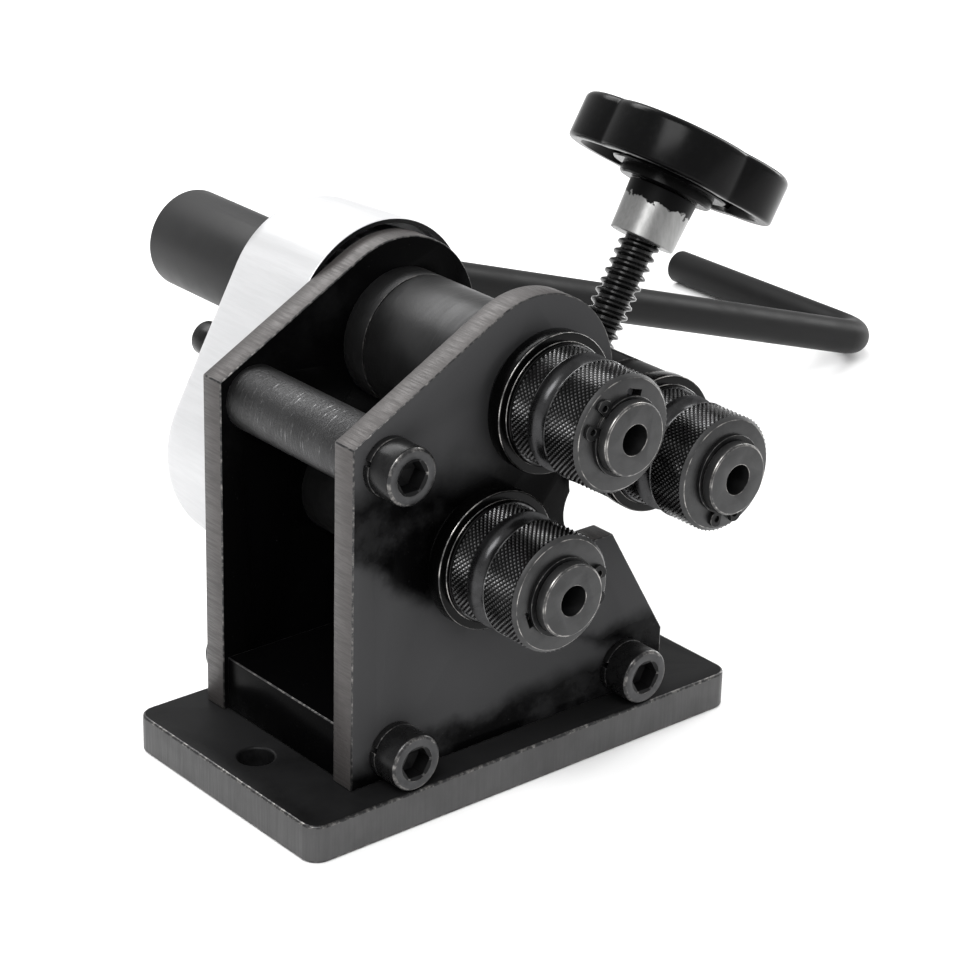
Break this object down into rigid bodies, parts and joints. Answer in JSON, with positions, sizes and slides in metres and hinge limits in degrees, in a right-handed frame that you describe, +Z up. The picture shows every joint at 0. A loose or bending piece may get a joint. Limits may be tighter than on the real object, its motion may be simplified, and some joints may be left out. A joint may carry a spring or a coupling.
{
  "type": "bench ring roller",
  "caption": "Hand-cranked bench ring roller: geared grooved rolls on a plated frame, an idle roll on a swing arm set by a hand screw, and a long bent crank.",
  "frame": {"origin": "centre of the base plate's underside", "axes": "+X along the base's long edge, +Y from the rolls back to the crank, +Z up"},
  "size_m": [0.3995, 0.3063, 0.1721],
  "materials": {
    "black_steel": "blackened steel, satin",
    "dark_steel": "dark oiled steel with bright worn edges",
    "bare_steel": "bare turned or ground steel",
    "cast_metal": "bare light metal, lightly scratched",
    "gloss_black": "glossy black moulded plastic"
  },
  "bodies": {
    "frame": {"base_plate": "black_steel", "bottom_block": "black_steel", "base_screws": "dark_steel", "front_plate": "black_steel", "rear_plate": "black_steel", "corner_spacer": "bare_steel", "front_cap_screws": "dark_steel", "rear_cap_screws": "dark_steel", "front_lock_washers": "dark_steel", "rear_lock_washers": "dark_steel", "anvil_block": "black_steel", "pivot_sleeve": "bare_steel", "rear_collar": "black_steel", "top_bushes": "dark_steel", "lower_spacer_tube": "black_steel", "lower_bushes": "dark_steel", "gear_cover": "cast_metal", "cover_screws": "dark_steel"},
    "top_drive": {"top_shaft": "dark_steel", "top_roll": "dark_steel", "top_roll_key": "bare_steel", "top_circlip": "dark_steel", "drive_gear": "bare_steel", "drive_gear_key": "bare_steel", "drive_gear_circlip": "dark_steel", "crank_hub": "black_steel", "crank_shaft_pin": "bare_steel", "crank_rod": "black_steel", "crank_rod_pin": "bare_steel"},
    "lower_drive": {"lower_shaft": "dark_steel", "lower_roll": "dark_steel", "lower_roll_key": "bare_steel", "lower_circlip": "dark_steel", "driven_gear": "bare_steel", "driven_gear_key": "bare_steel", "driven_gear_circlip": "dark_steel"},
    "idle_arm": {"swing_arm": "black_steel", "idle_bush": "dark_steel", "shaft_keeper_screw": "dark_steel"},
    "idle_set": {"idle_shaft": "dark_steel", "idle_roll": "dark_steel", "idle_roll_key": "bare_steel", "idle_circlip": "dark_steel"},
    "screw_pad": {"thrust_pad": "bare_steel"},
    "hand_screw": {"jack_screw": "black_steel", "knob_insert": "cast_metal", "knob_pin": "bare_steel", "hand_knob": "gloss_black"}
  },
  "joints": [
    {"name": "crank_turn", "type": "hinge", "parent": "frame", "child": "top_drive", "pos_m": [0.005, 0.002, 0.1098], "axis": [0, 1, 0], "continuous": true},
    {"name": "lower_turn", "type": "hinge", "parent": "frame", "child": "lower_drive", "pos_m": [-0.0138, 0.002, 0.07002], "axis": [0, 1, 0], "continuous": true},
    {"name": "arm_swing", "type": "hinge", "parent": "frame", "child": "idle_arm", "pos_m": [0.005, 0.002, 0.1098], "axis": [0, -1, 0], "range_deg": [-9.5, 9.5]},
    {"name": "idle_turn", "type": "hinge", "parent": "idle_arm", "child": "idle_set", "pos_m": [0.04319, 0.002, 0.08898], "axis": [0, 1, 0], "continuous": true},
    {"name": "screw_travel", "type": "slide", "parent": "idle_arm", "child": "screw_pad", "axis": [-0.5195, 0, -0.8545], "range_m": [-0.0078, 0.0078]},
    {"name": "knob_turn", "type": "hinge", "parent": "screw_pad", "child": "hand_screw", "pos_m": [0.04499, 0.002, 0.08549], "axis": [-0.5195, 0, -0.8545], "range_deg": [-931, 931]}
  ],
  "couplings": [
    {"joint": "lower_turn", "follows": "crank_turn", "ratio": -1},
    {"joint": "screw_travel", "follows": "knob_turn", "m_per_rad": 0.00047746},
    {"joint": "arm_swing", "follows": "knob_turn", "ratio": 0.010202}
  ]
}
